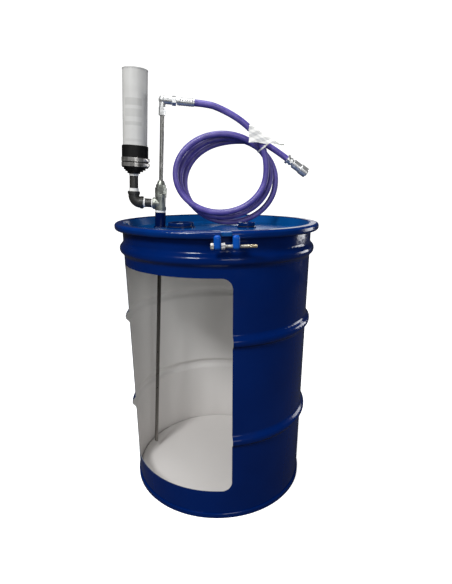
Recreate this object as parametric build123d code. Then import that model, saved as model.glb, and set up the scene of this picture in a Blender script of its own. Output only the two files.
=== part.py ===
from build123d import *
import os
from math import cos, pi, radians, sin, sqrt, tan

# An open-head steel drum, cut away at the front and left, with a transfer adapter on its
# cover: a dip tube through a tee, a desiccant breather, and a coiled hose with a coupler.
# Millimetres. The origin is on the drum's axis at the floor. +Z is up and -Y is the front.

# ---- Drum -------------------------------------------------------------------------------
drum_height = 878.0          # floor to the top of the closing ring
shell_radius = 287.0         # outside of the plain body
shell_wall = 1.5
hoop_rise = 11.5             # how far a rolling hoop stands out
hoop_half_height = 19.0
hoop_crown_half = 6.5        # half the flat of a hoop before rounding
hoop_rounding = 12.0
lower_hoop_z = 273.7
upper_hoop_drop = 295.5      # upper hoop, below the top of the ring
bead_drop = 74.0             # top bead, below the top of the ring
chime_height = 18.0
chime_rise = 4.0             # how far the bottom seam stands outside the body
chime_depth = 7.5
floor_z = 25.0               # underside of the bottom head's panel

# ---- Cut-away window --------------------------------------------------------------------
window_left_azimuth = -81.0  # degrees from the front, positive towards +X
window_right_azimuth = 8.0
window_bottom_z = 99.5
window_top_drop = 120.0      # below the top of the ring
window_corner = 30.0

# ---- Cover, gasket and closing ring -----------------------------------------------------
ring_wall = 2.0
ring_side_gap = 4.0          # between the ring and the cover's rim
ring_rounding = 8.0
ring_top_lap = 24.0          # width of the ring's top leg
ring_bottom_lap = 14.0
cover_wall = 1.5
cover_recess = 22.2          # panel, below the cover's rim
cover_skirt = 8.0
cover_skirt_gap = 5.5        # between the cover's skirt and the shell's rolled edge
cover_rim_chamfer = 1.5
cover_wall_gap = 4.5         # between the cover's recess wall and the shell
cover_draft = 6.0
gasket_thickness = 4.0
curl_radius = 5.0            # the shell's rolled top edge
seat_gap = 0.3               # between stacked pieces that only touch

# ---- Ring bolt --------------------------------------------------------------------------
ring_gap = 28.0
ring_gap_azimuth = 4.2
lug_width = 18.0
lug_depth = 18.0
lug_height = 35.0
lug_drop = 42.5              # bottom of a lug, below the top of the ring
lug_rounding = 7.0
bolt_diameter = 9.0
bolt_above_lug_foot = 8.0
bolt_tail = 42.0             # thread beyond the gap's centre line, past the far lug
bolt_head_flats = 15.0
bolt_head_height = 7.5
jam_nut_height = 9.0

# ---- Bung fittings ----------------------------------------------------------------------
large_bung = {"x": -115.0, "y": 36.0, "thread": 29.0}
small_bung = {"x": 94.0, "y": 36.0, "thread": 15.0}
bung_head_lap = 11.5         # plug head, beyond its thread
bung_collar_lap = 15.5       # flange collar, beyond the thread
bung_neck_wall = 3.0
bung_depth = 12.0            # threaded depth below the panel
bung_collar_height = 4.0
bung_gasket = 2.0
plug_head_height = 10.0
plug_recess = 4.5

# ---- Transfer adapter, in its own leaning frame -----------------------------------------
neck_x = -183.0
neck_y = 50.0
adapter_lean = 3.9           # degrees, top towards +X
neck_wall = 3.6
neck_height = 47.0
neck_depth = 12.0
weld_width = 4.0
weld_height = 5.0
pipe_radius = 13.35
pipe_bore = 10.5
thread_gap = 0.05            # radial, between a pipe and the socket it is screwed into
tape_rise = 1.2
lower_tape = 6.0             # height of the tape between the neck and the tee
tee_wall = 2.1
tee_band_rise = 2.5
tee_band = 11.0
tee_length = 50.0
branch_above_tee_foot = 20.0
branch_reach = 24.0
pipe_engagement = 12.0
branch_gap_to_elbow = 30.0   # from the tee's branch to the breather elbow
breather_reach = 84.0        # riser axis, from the dip tube's axis
elbow_wall = 3.6
elbow_bend = 20.0
elbow_band_rise = 2.0
elbow_rise = 32.5            # branch axis to the elbow's upper face
riser_length = 51.5          # visible pipe, elbow to boot

# ---- Breather ---------------------------------------------------------------------------
boot_wall = 3.15
boot_offset = 4.0            # canister axis, nearer the dip tube than the riser
boot_height = 80.0
boot_steps = ((6.2, 6.0), (13.7, 5.0), (19.7, 6.0))    # wall over the riser, and height
boot_floor = 23.0            # boot's foot to the canister's seat
canister_radius = 36.5
canister_wall = 2.2
canister_length = 261.0
canister_cap = 3.0
canister_rim = 0.8
clamp_width = 11.0
clamp_wall = 1.3
clamp_spacing = 14.0
clamp_first = 26.0           # centre of the lower clamp, above the boot's foot
clamp_azimuth = -30.0
clamp_screw_radius = 2.3
housing_size = (15.0, 10.0, 10.0)   # along the screw, outwards, and along the boot's axis
disc_thickness = 2.0
pad_thickness = 8.0
disc_holes = 12
disc_hole_radius = 2.2

# ---- Gland and dip tube -----------------------------------------------------------------
tube_radius = 6.35
tube_wall = 1.2
tube_end_gap = 25.0          # tube end above the drum's bottom panel
slide_gap = 0.05             # radial, on every turning or sliding fit
gland_flats = 33.0
gland_height = 18.0
gland_pocket_radius = 10.0
gland_pocket_depth = 16.0
packing_height = 7.0
gland_nut_flats = 28.0
gland_nut_hex = 9.0
gland_nut_cone = 12.0
gland_nut_tip = 9.5

# ---- Outlet elbow and arm ---------------------------------------------------------------
outlet_height = 368.0        # arm axis above the cover, along the dip tube
arm_turn = 6.0               # degrees the arm is turned towards the back
tube_nut_flats = 19.0
tube_nut_foot = 42.0         # nut's lower face, below the arm's axis
tube_nut_height = 22.0
nose_radius = 7.5
nose_depth = 8.0             # how far a nose reaches into its nut
outlet_leg_radius = 9.5
outlet_arm_radius = 11.0
outlet_bore = 4.6
arm_nut_start = 28.0
arm_nut_height = 12.0
arm_nut_flats = 24.0
hose_ferrule_start = 42.5
hose_ferrule_end = 93.0

# ---- Hose -------------------------------------------------------------------------------
hose_diameter = 19.0
coil_centre_x = 9.3
coil_centre_height = 167.9   # heights on the hose are above the cover's panel
coil_half_width = 148.0      # of the hose's centre line, at its start
coil_half_height = 120.3
coil_growth = (2.4, 3.45)    # added to the half width and half height in each turn
coil_front_y = 80.0
coil_drift = (15.3, 19.2, -13.15)     # movement of the coil's centre in each turn
coil_start_angle = 5.0       # degrees above +X, and the coil turns clockwise
coil_turns = 2.75
coil_floor_gap = 1.2         # between the coil and the cover's panel
lead_points = ((12.4, 66.0, 346.5), (54.0, 69.0, 327.5), (94.0, 72.0, 301.5),
               (128.0, 75.0, 268.5))
lead_straight = 45.0         # first run, straight out of the ferrule
coil_run = 51.0              # straight runs beside the coil
tail_points = ((146.0, 138.5, 261.0), (190.0, 141.0, 238.5))
coupler_point = (231.0, 142.0, 211.0)

# ---- Coupler ----------------------------------------------------------------------------
ferrule_wall = 1.25          # over the hose
ferrule_ring_pitch = 8.0
ferrule_ring_rise = 0.7
stem_radius = 6.0
outlet_ferrule_length = 13.0
outlet_collar = 6.0
outlet_collar_wall = 5.5     # over the hose
coupler_flats = 22.0
coupler_hex = 6.0
coupler_radius = 9.5
coupler_length = 83.0        # hose end to the coupler's mouth
coupler_mouth = 6.6          # radius of the socket that takes the mating plug
coupler_mouth_depth = 25.0
coupler_seat = 4.2
coupler_seat_length = 2.0
coupler_chamber = 5.06
coupler_chamber_length = 24.0
poppet_length = 14.0
poppet_nose_radius = 3.0
poppet_nose = 4.0
sleeve_start = 26.0
sleeve_length = 54.0
sleeve_wall = 4.45
sleeve_flange = 24.0
sleeve_flange_rise = 2.0
snap_ring_wall = 1.0
ball_count = 6
ball_radius = 2.0
ball_place = 68.0
tie_width = 5.0
tie_wall = 1.5
tie_angle = 38.0
tag_thickness = 0.8
tag_corners = ((122.0, 310.5), (125.0, 244.5), (226.0, 241.5))
tag_y = 61.5

# ---- Worked out from the values above ---------------------------------------------------
rim_top = drum_height - ring_wall - seat_gap
rim_bottom = rim_top - cover_wall
curl_z = rim_bottom - gasket_thickness - curl_radius
panel_top = rim_top - cover_recess
shell_inner = shell_radius - shell_wall
curl_centre = shell_radius + curl_radius - 1.0
cover_rim_radius = curl_centre + curl_radius + cover_skirt_gap + cover_wall
ring_outer_radius = cover_rim_radius + ring_side_gap + ring_wall
ring_foot = curl_z - curl_radius - seat_gap - 0.2 - ring_wall
cover_wall_radius = shell_inner - cover_wall_gap
panel_radius = cover_wall_radius - cover_draft
window_top_z = drum_height - window_top_drop
upper_hoop_z = drum_height - upper_hoop_drop
bead_z = drum_height - bead_drop
tee_foot = neck_height + lower_tape
tee_top = tee_foot + tee_length
branch_z = tee_foot + branch_above_tee_foot
elbow_face = branch_reach + branch_gap_to_elbow
pipe_socket = pipe_radius + thread_gap
neck_radius = pipe_socket + neck_wall
tee_radius = pipe_socket + tee_wall
elbow_radius = pipe_socket + elbow_wall
boot_radius = canister_radius + thread_gap + boot_wall
elbow_top = branch_z + elbow_rise
boot_foot = elbow_top + riser_length
canister_foot = boot_foot + boot_floor
gland_top = tee_top + gland_height
tube_top = outlet_height - tube_nut_foot + tube_nut_height - nose_depth - seat_gap
hose_radius = hose_diameter / 2
ferrule_radius = hose_radius + ferrule_wall
sleeve_radius = coupler_radius + slide_gap + sleeve_wall
sleeve_flange_radius = sleeve_radius + sleeve_flange_rise

adapter = Location((neck_x, neck_y, panel_top), (0, adapter_lean, 0))
riser_place = adapter * Pos(-breather_reach, 0, 0)
canister_place = riser_place * Pos(boot_offset, 0, 0)
tube_drop = (panel_top - floor_z - cover_wall - tube_end_gap) / cos(radians(adapter_lean))

pieces = {}


def keep(node, shape):
    """Keep a finished piece under its node's name."""
    pieces[node] = shape


def rod(radius, low, high):
    """A solid cylinder on Z between two heights."""
    return Pos(0, 0, (low + high) / 2) * Cylinder(radius, high - low)


def pipe(outer, inner, low, high):
    """A tube on Z between two heights."""
    return rod(outer, low, high) - rod(inner, low - 1, high + 1)


def hexagon(flats, low, high):
    """A hexagonal bar on Z between two heights, with its corners rounded off."""
    bar = Pos(0, 0, low) * extrude(RegularPolygon(flats / 2, 6, major_radius=False), high - low)
    return bar & rod(flats * 0.565, low, high)


def cone(foot_radius, top_radius, low, high):
    """A truncated cone on Z between two heights."""
    return Pos(0, 0, (low + high) / 2) * Cone(foot_radius, top_radius, high - low)


def turned(points):
    """A closed outline of radius and height, revolved about Z."""
    outline = Polyline(*[(r, 0, z) for r, z in points], close=True)
    return revolve(make_face(outline), Axis.Z)


# ---- Drum body --------------------------------------------------------------------------
def body_line(offset):
    """The shell's side as points of radius and height, moved outwards by an offset."""
    points = [(shell_radius + offset, chime_height)]
    for centre in (lower_hoop_z, upper_hoop_z, bead_z):
        crown = shell_radius + hoop_rise + offset
        points += [(shell_radius + offset, centre - hoop_half_height),
                   (crown, centre - hoop_crown_half),
                   (crown, centre + hoop_crown_half),
                   (shell_radius + offset, centre + hoop_half_height)]
    return points + [(shell_radius + offset, curl_z)]


def skin(outer_points, inner_points, outer_rounding, inner_rounding):
    """A wall turned about Z between two open outlines with rounded corners."""
    outer = FilletPolyline(*[(r, 0, z) for r, z in outer_points], radius=outer_rounding)
    inner = FilletPolyline(*[(r, 0, z) for r, z in inner_points], radius=inner_rounding)
    ends = [Line(outer @ 0, inner @ 0), Line(outer @ 1, inner @ 1)]
    return revolve(make_face(Wire(outer.edges() + inner.edges() + ends)), Axis.Z)


def window_block():
    """The window's volume through the wall."""
    inside, outside = shell_radius - 30, shell_radius + 30
    low, high = window_bottom_z, window_top_z
    section = make_face(Polyline((inside, 0, low), (outside, 0, low),
                                 (outside, 0, high), (inside, 0, high), close=True))
    block = revolve(Rot(0, 0, window_left_azimuth - 90) * section, Axis.Z,
                    revolution_arc=window_right_azimuth - window_left_azimuth)
    radial = [e for e in block.edges().filter_by(GeomType.LINE)
              if abs((e @ 1 - e @ 0).Z) < 0.001]
    return fillet(radial, window_corner)


def drum():
    """The rolled shell with its window, and the bottom head."""
    shell = skin(body_line(0), body_line(-shell_wall), hoop_rounding, hoop_rounding)
    curl = Pos(0, 0, curl_z) * Torus(curl_centre, curl_radius)
    keep("drum_shell", shell + curl - window_block())

    wall = shell_radius + chime_rise - chime_depth
    head = turned([(0, floor_z), (wall - 8, floor_z), (wall - 2, floor_z - 6), (wall, 3),
                   (wall + 2, 0), (wall + chime_depth - 2, 0), (wall + chime_depth, 3),
                   (wall + chime_depth, chime_height - 2),
                   (wall + chime_depth - 1.5, chime_height), (wall + 0.5, chime_height),
                   (wall + 0.5, floor_z - 5), (wall - 7, floor_z + cover_wall),
                   (0, floor_z + cover_wall)])
    keep("bottom_head", head)


# ---- Cover, gasket, ring ----------------------------------------------------------------
def cover_piece():
    """The recessed cover, less the holes that its fittings pass through."""
    rim, wall = cover_rim_radius, cover_wall
    cover = turned([(0, panel_top), (panel_radius, panel_top), (cover_wall_radius, rim_top),
                    (rim - cover_rim_chamfer, rim_top), (rim, rim_top - cover_rim_chamfer),
                    (rim, rim_bottom - cover_skirt),
                    (rim - wall, rim_bottom - cover_skirt), (rim - wall, rim_bottom),
                    (cover_wall_radius + wall, rim_bottom),
                    (panel_radius + wall, panel_top - wall), (0, panel_top - wall)])
    for bung in (large_bung, small_bung):
        hole = rod(bung["thread"] + bung_neck_wall, panel_top - 10, panel_top + 10)
        cover -= Pos(bung["x"], bung["y"], 0) * hole
    return cover - adapter * rod(neck_radius, -10, 10)


def ring_line(offset):
    """The closing ring's open section, moved inwards by an offset."""
    side, top, foot = ring_outer_radius - offset, drum_height - offset, ring_foot + offset
    return [(ring_outer_radius - ring_top_lap, top), (side, top), (side, foot),
            (ring_outer_radius - ring_bottom_lap, foot)]


def cover_and_ring():
    """The cover, its gasket and the split closing ring."""
    keep("cover", cover_piece())
    keep("cover_gasket", pipe(cover_rim_radius - cover_wall - 2.5, shell_inner - 1.0,
                              rim_bottom - gasket_thickness, rim_bottom))
    ring = skin(ring_line(0), ring_line(ring_wall), ring_rounding, ring_rounding - ring_wall)
    gap = Pos(ring_outer_radius, 0, drum_height) * Box(80, ring_gap, 100)
    keep("closing_ring", ring - Rot(0, 0, ring_gap_azimuth - 90) * gap)


def ring_bolt():
    """Two lugs welded to the ring's ends, and the bolt and jam nut that close it."""
    y = -(ring_outer_radius - 1.0 + lug_depth / 2)
    foot = drum_height - lug_drop
    bolt_z = foot + bolt_above_lug_foot
    place = Rot(0, 0, ring_gap_azimuth)
    half = ring_gap / 2
    hole = Pos(0, y, bolt_z) * Rot(0, 90, 0) * Cylinder(bolt_diameter / 2 + slide_gap, 200)
    ring_body = rod(ring_outer_radius, foot - 5, drum_height + 5)
    lugs = Part()
    for side in (-1, 1):
        lug = Pos(side * (half + lug_width / 2), y, foot + lug_height / 2)
        lug *= Box(lug_width, lug_depth, lug_height)
        lugs += fillet(lug.edges(), lug_rounding) - hole - ring_body
    keep("ring_lugs", place * lugs)

    along = Pos(0, y, bolt_z) * Rot(0, 90, 0)      # local Z runs along the bolt
    head_end = -half - lug_width - seat_gap
    tip = half + lug_width + bolt_tail
    bolt = rod(bolt_diameter / 2, head_end - 1, tip - 1)
    bolt += cone(bolt_diameter / 2, bolt_diameter / 2 - 1, tip - 1, tip)
    bolt += hexagon(bolt_head_flats, head_end - bolt_head_height, head_end)
    keep("ring_bolt", place * along * bolt)
    nut = hexagon(bolt_head_flats, -half + seat_gap, -half + seat_gap + jam_nut_height)
    nut -= rod(bolt_diameter / 2 + slide_gap, -half - 5, 0)
    keep("jam_nut", place * along * nut)


# ---- Bung fittings ----------------------------------------------------------------------
def bung_fitting(name, bung):
    """A welded bung flange, its plug with a lugged recess, and the gasket between."""
    place = Pos(bung["x"], bung["y"], panel_top)
    thread = bung["thread"]
    collar, head = thread + bung_collar_lap, thread + bung_head_lap
    bore = thread + slide_gap
    flange = pipe(thread + bung_neck_wall, bore, -bung_depth, bung_collar_height)
    flange += pipe(collar, bore, 0, bung_collar_height)
    keep(f"{name}_bung_flange", place * flange)
    seat = bung_collar_height + bung_gasket
    keep(f"{name}_bung_gasket", place * pipe(head - 1.5, bore, bung_collar_height, seat))

    top = seat + seat_gap + plug_head_height
    plug = rod(thread, 2 - bung_depth, top - 1)
    plug += rod(head, seat + seat_gap, top - 1) + cone(head, head - 1, top - 1, top)
    recess = rod(head * 0.72, top - plug_recess, top + 1)
    bar = Pos(0, 0, top - plug_recess) * Box(head * 0.34, head * 1.6, plug_recess * 2)
    plug = plug - recess + (bar & rod(head * 0.75, top - plug_recess - 1, top - 1))
    keep(f"{name}_bung_plug", place * plug)


# ---- Transfer adapter -------------------------------------------------------------------
def banded_socket(radius, rise, band):
    """A pipe socket's raised band on Z, ending at zero, with a softened edge."""
    return rod(radius + rise, -band, -1) + cone(radius + rise, radius + rise - 1, -1, 0)


def branch_frame(x, z):
    """A frame in the adapter whose Z points away from the dip tube, towards -X."""
    return Pos(x, 0, z) * Rot(0, -90, 0)


def lower_adapter():
    """The welded neck, the pipe and tape above it, and the run tee."""
    below_panel = Pos(0, 0, panel_top - 50) * Box(700, 700, 100)
    weld = cone(neck_radius + weld_width, neck_radius, -3, weld_height)
    weld -= rod(neck_radius, -5, weld_height + 1)
    keep("neck_weld", adapter * weld - below_panel)
    neck = pipe(neck_radius, pipe_socket, -neck_depth, neck_height)
    keep("drum_neck", adapter * neck)
    low = neck_height - 25
    keep("neck_pipe", adapter * pipe(pipe_radius, pipe_bore, low, tee_foot + pipe_engagement))

    tee = rod(tee_radius, tee_foot, tee_top)
    tee += Pos(0, 0, tee_top) * banded_socket(tee_radius, tee_band_rise, tee_band)
    foot_band = Rot(180, 0, 0) * banded_socket(tee_radius, tee_band_rise, tee_band)
    tee += Pos(0, 0, tee_foot) * foot_band
    side = branch_frame(-branch_reach, branch_z)
    tee += branch_frame(0, branch_z) * rod(tee_radius, 0, branch_reach)
    tee += side * banded_socket(tee_radius, tee_band_rise, tee_band * 0.8)
    tee -= rod(pipe_bore, tee_foot - 1, tee_top + 1)
    tee -= rod(pipe_socket, tee_foot - 1, tee_foot + pipe_engagement)
    tee -= rod(pipe_socket, tee_top - pipe_engagement, tee_top + 1)
    tee -= side * rod(pipe_socket, -pipe_engagement + 4, 1)
    tee -= branch_frame(0, branch_z) * rod(pipe_bore, 0, branch_reach + 1)
    keep("run_tee", adapter * tee)


def gland():
    """The gland body on the tee, its packing, and the gland nut that squeezes it."""
    body = rod(pipe_radius, tee_top - pipe_engagement + 1, tee_top)
    body += hexagon(gland_flats, tee_top, gland_top)
    pocket_floor = gland_top - gland_pocket_depth
    body -= rod(gland_pocket_radius, pocket_floor, gland_top + 1)
    body -= rod(tube_radius + slide_gap, tee_foot, gland_top)
    keep("gland_body", adapter * body)
    packing_top = pocket_floor + packing_height
    keep("gland_packing", adapter * pipe(gland_pocket_radius, tube_radius + slide_gap,
                                         pocket_floor, packing_top))
    foot = gland_top + seat_gap
    nut = rod(gland_pocket_radius - slide_gap, packing_top + seat_gap, foot)
    nut += hexagon(gland_nut_flats, foot, foot + gland_nut_hex)
    nut += cone(gland_nut_flats / 2 - 0.5, gland_nut_tip, foot + gland_nut_hex,
                foot + gland_nut_hex + gland_nut_cone)
    nut -= rod(tube_radius + slide_gap, packing_top - 1, foot + 50)
    keep("gland_nut", adapter * nut)


def branch_path():
    """The centre line of the breather elbow, from the tee's side up to its top face."""
    corner = Vector(-breather_reach, 0, branch_z)
    start = Vector(-elbow_face, 0, branch_z)
    bend_start = corner + Vector(elbow_bend, 0, 0)
    bend_end = corner + Vector(0, 0, elbow_bend)
    middle = corner + Vector(elbow_bend, 0, elbow_bend) * (1 - 1 / sqrt(2))
    end = Vector(-breather_reach, 0, elbow_top)
    return Wire([Line(start, bend_start), ThreePointArc(bend_start, middle, bend_end),
                 Line(bend_end, end)])


def branch_pipes():
    """The short branch pipe, the breather elbow, the riser pipe and the joints' tape."""
    half = pipe_engagement - 4
    branch = Pos(-branch_reach, 0, branch_z) * Rot(0, -90, 0)
    keep("branch_pipe", adapter * branch * pipe(pipe_radius, pipe_bore, -half,
                                                branch_gap_to_elbow + half))
    path = branch_path()
    mouth = Plane(origin=path @ 0, z_dir=path % 0)
    elbow = sweep(mouth * Circle(elbow_radius), path=path)
    elbow += branch_frame(-elbow_face, branch_z) * Rot(180, 0, 0) * banded_socket(
        elbow_radius, elbow_band_rise, 9)
    elbow += Pos(-breather_reach, 0, elbow_top) * banded_socket(elbow_radius,
                                                                elbow_band_rise, 9)
    elbow -= sweep(mouth * Circle(pipe_bore), path=path)
    elbow -= branch_frame(-elbow_face, branch_z) * rod(pipe_socket, -1, half + 0.5)
    elbow -= Pos(-breather_reach, 0, elbow_top) * rod(pipe_socket, -half - 0.5, 1)
    keep("breather_elbow", adapter * elbow)
    riser = pipe(pipe_radius, pipe_bore, elbow_top - half, boot_foot + boot_floor - 6)
    keep("riser_pipe", riser_place * riser)

    tape = pipe_radius + tape_rise
    bore = pipe_radius
    tapes = pipe(neck_radius - 0.6, bore, neck_height, tee_foot)
    tapes += branch * pipe(tape, bore, 0, 3.5)
    tapes += branch * pipe(tape, bore, branch_gap_to_elbow - 6, branch_gap_to_elbow)
    beside = Pos(-breather_reach, 0, 0)
    tapes += beside * pipe(tape + 0.4, bore, elbow_top, elbow_top + 9)
    tapes += beside * pipe(tape, bore, boot_foot - 6, boot_foot)
    keep("thread_tape", adapter * tapes)


# ---- Breather ---------------------------------------------------------------------------
def boot():
    """The stepped rubber boot from the riser to the canister, whose axes are apart."""
    shape = Part()
    z = boot_foot
    for step, (wall, height) in enumerate(boot_steps):
        shift = boot_offset * step / len(boot_steps)
        shape += Pos(shift, 0, 0) * rod(pipe_socket + wall, z, z + height)
        z += height
    top = boot_foot + boot_height
    cup = rod(boot_radius, z, top - 1.5)
    cup += cone(boot_radius, boot_radius - 1.5, top - 1.5, top)
    shape += Pos(boot_offset, 0, 0) * cup
    shape -= Pos(boot_offset, 0, 0) * rod(canister_radius + thread_gap, canister_foot, top + 1)
    shape -= rod(pipe_socket, boot_foot - 1, canister_foot + 1)
    keep("rubber_boot", riser_place * shape)


def worm_clamp(name, height):
    """A worm-drive clamp: its band and screw housing in one piece, and its screw."""
    low, high = height - clamp_width / 2, height + clamp_width / 2
    band = pipe(boot_radius + clamp_wall, boot_radius, low, high)
    band += pipe(boot_radius + clamp_wall + 0.5, boot_radius, low, low + 1.2)
    band += pipe(boot_radius + clamp_wall + 0.5, boot_radius, high - 1.2, high)
    along, out, tall = housing_size
    centre = Pos(boot_radius + clamp_wall + out / 2 - 0.5, 0, height)
    housing = fillet(Box(out, along, tall).edges().filter_by(Axis.Y), 2.5)
    screw_axis = Rot(90, 0, 0)                       # local Z runs towards -Y
    housing -= screw_axis * rod(clamp_screw_radius + slide_gap, -along, along)
    place = canister_place * Rot(0, 0, clamp_azimuth)
    clearance = rod(boot_radius, low - 1, high + 1)
    keep(f"{name}_clamp_band", place * (band + centre * housing - clearance))
    reach = along / 2
    screw = rod(clamp_screw_radius, -reach - 2, reach + seat_gap + 1)
    screw += hexagon(8.0, reach + seat_gap, reach + seat_gap + 5)
    screw -= Pos(0, 0, reach + seat_gap + 5) * Box(1.2, 12, 2.4)
    keep(f"{name}_clamp_screw", place * centre * screw_axis * screw)


def perforated_disc(radius):
    """A flat disc with two circles of holes, standing on zero."""
    disc = rod(radius, 0, disc_thickness)
    for circle, count in ((radius * 0.42, disc_holes // 2), (radius * 0.76, disc_holes)):
        for step in range(count):
            turn = Rot(0, 0, 360 * step / count)
            disc -= turn * Pos(circle, 0, 0) * rod(disc_hole_radius, -1, disc_thickness + 1)
    return disc


def breather():
    """The canister, its rimmed top, and the desiccant between two pads and discs."""
    place = canister_place
    foot, top = canister_foot, canister_foot + canister_length
    inner = canister_radius - canister_wall
    can = pipe(canister_radius, inner, foot, top - canister_cap)
    keep("breather_canister", place * can)
    cap = rod(canister_radius + canister_rim, top - canister_cap, top - 1)
    cap += cone(canister_radius + canister_rim, canister_radius - 1, top - 1, top)
    dish = cone(canister_radius - 9, canister_radius - 3.5, top - 1.2, top + 0.4)
    keep("breather_cap", place * (cap - dish))
    z = foot
    keep("lower_disc", place * Pos(0, 0, z) * perforated_disc(inner))
    z += disc_thickness
    keep("lower_pad", place * rod(inner, z, z + pad_thickness))
    z += pad_thickness
    upper = top - canister_cap - 2 * disc_thickness - pad_thickness - 12
    keep("desiccant", place * rod(inner, z, upper))
    keep("upper_pad", place * rod(inner, upper, upper + pad_thickness))
    keep("upper_disc", place * Pos(0, 0, upper + pad_thickness) * perforated_disc(inner))


# ---- Dip tube and outlet elbow ----------------------------------------------------------
def dip_tube():
    """The dip tube, cut at a slant at its foot, and the nut on its upper end."""
    tube = pipe(tube_radius, tube_radius - tube_wall, -tube_drop, tube_top)
    slant = Pos(0, 0, -tube_drop) * Rot(0, 25, 0) * Box(60, 60, 6)
    keep("dip_tube", adapter * (tube - slant))
    foot = outlet_height - tube_nut_foot
    top = foot + tube_nut_height
    nut = hexagon(tube_nut_flats, foot, top)
    nut -= rod(tube_radius + slide_gap, foot - 1, top)
    nut -= rod(nose_radius + slide_gap, top - nose_depth - seat_gap, top + 1)
    keep("tube_nut", adapter * nut)


arm_frame = adapter * Pos(0, 0, outlet_height) * Rot(0, 0, arm_turn)
arm_axis = arm_frame * Rot(0, 90, 0)               # local Z runs along the arm


def crimped_ferrule(start, end):
    """A hose ferrule on Z with crimped rings."""
    ferrule = rod(ferrule_radius, start, end)
    rings = int((end - start) / ferrule_ring_pitch)
    for ring in range(1, rings + 1):
        z = start + ring * (end - start) / (rings + 1)
        ferrule += cone(ferrule_radius, ferrule_radius + ferrule_ring_rise, z - 2.5, z - 1)
        ferrule += rod(ferrule_radius + ferrule_ring_rise, z - 1, z + 1)
        ferrule += cone(ferrule_radius + ferrule_ring_rise, ferrule_radius, z + 1, z + 2.5)
    return ferrule


def outlet():
    """The forged outlet elbow, the swivel nut on its arm and the hose's first ferrule."""
    nut_top = -tube_nut_foot + tube_nut_height
    nose_end = arm_nut_start + nose_depth
    elbow = rod(nose_radius, nut_top - nose_depth, nut_top)
    elbow += rod(outlet_leg_radius, nut_top + seat_gap, 0)
    elbow += rod(nose_radius, nut_top - 1, nut_top + 1)
    elbow += Sphere(outlet_arm_radius + 0.6)
    along = Rot(0, 90, 0)
    elbow += along * rod(outlet_arm_radius, 0, arm_nut_start - seat_gap)
    elbow += along * rod(nose_radius, 0, nose_end)
    elbow -= rod(outlet_bore, nut_top - 20, 0) + along * rod(outlet_bore, 0, nose_end + 1)
    elbow -= Sphere(outlet_bore)
    keep("outlet_elbow", arm_frame * elbow)

    nut_end = arm_nut_start + arm_nut_height
    nut = hexagon(arm_nut_flats, arm_nut_start, nut_end)
    nut -= rod(nose_radius + slide_gap, arm_nut_start - 1, nose_end + seat_gap)
    nut -= rod(stem_radius + slide_gap, arm_nut_start, nut_end + 1)
    keep("arm_nut", arm_axis * nut)
    ferrule = crimped_ferrule(hose_ferrule_start, hose_ferrule_end)
    ferrule += rod(stem_radius, nose_end + seat_gap / 2, hose_ferrule_start)
    ferrule -= rod(outlet_bore, nose_end - 5, hose_ferrule_end - 3)
    keep("inlet_ferrule", arm_axis * ferrule)


# ---- Hose -------------------------------------------------------------------------------
def above_panel(point):
    """A point of the hose, whose height is given above the cover's panel."""
    return Vector(point[0], point[1], panel_top + point[2])


def coil_centre(turn):
    """The middle of the coil's oval after a number of turns."""
    return Vector(coil_centre_x, coil_front_y, panel_top + coil_centre_height) + \
        Vector(*coil_drift) * turn


def coil_halves(turn):
    """The oval's half width and half height after a number of turns."""
    return coil_half_width + coil_growth[0] * turn, coil_half_height + coil_growth[1] * turn


def coil_point(turn):
    """A point of the coil's centre line, a number of turns after its start."""
    angle = radians(coil_start_angle - 360 * turn)
    half_width, half_height = coil_halves(turn)
    return coil_centre(turn) + Vector(half_width * cos(angle), 0, half_height * sin(angle))


def coil_direction(turn):
    """The direction of travel along the coil at a number of turns."""
    return (coil_point(turn + 0.001) - coil_point(turn - 0.001)).normalized()


def run_tube(name, points):
    """A hose along straight runs joined by tangent arcs, as large as the runs allow."""
    points = [Vector(p) for p in points]
    radii = []
    for before, at, after in zip(points, points[1:], points[2:]):
        turn = radians((at - before).get_angle(after - at))
        shorter = min((at - before).length, (after - at).length)
        radii.append(0.45 * shorter / tan(turn / 2))
    print(name, "arc radii", [round(r) for r in radii], "mm")
    path = FilletPolyline(*points, radius=radii)
    tube = sweep(Plane(origin=points[0], z_dir=points[1] - points[0]) *
                 Circle(hose_radius), path=path)
    print(name, "length", round(path.length, 1), "section x length",
          round(path.length * pi * hose_radius ** 2), "volume", round(tube.volume))
    return tube


def coil_core(first, last, grow):
    """The coil's oval drawn out between two numbers of turns, larger by `grow`."""
    ovals = []
    for turn in (first, last):
        half_width, half_height = coil_halves(turn)
        face = Plane(origin=coil_centre(turn), x_dir=(1, 0, 0), z_dir=(0, 1, 0))
        ovals.append(face * Ellipse(half_width + grow, half_height + grow))
    return loft(ovals)


def coil_band(grow):
    """The coil's outer shape, a leaning oval ring, larger all round by `grow`."""
    reach = hose_radius + grow
    first = -reach / coil_drift[1]
    last = coil_turns + reach / coil_drift[1]
    return coil_core(first, last, reach) - coil_core(first - 0.1, last + 0.1, -reach)


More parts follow.
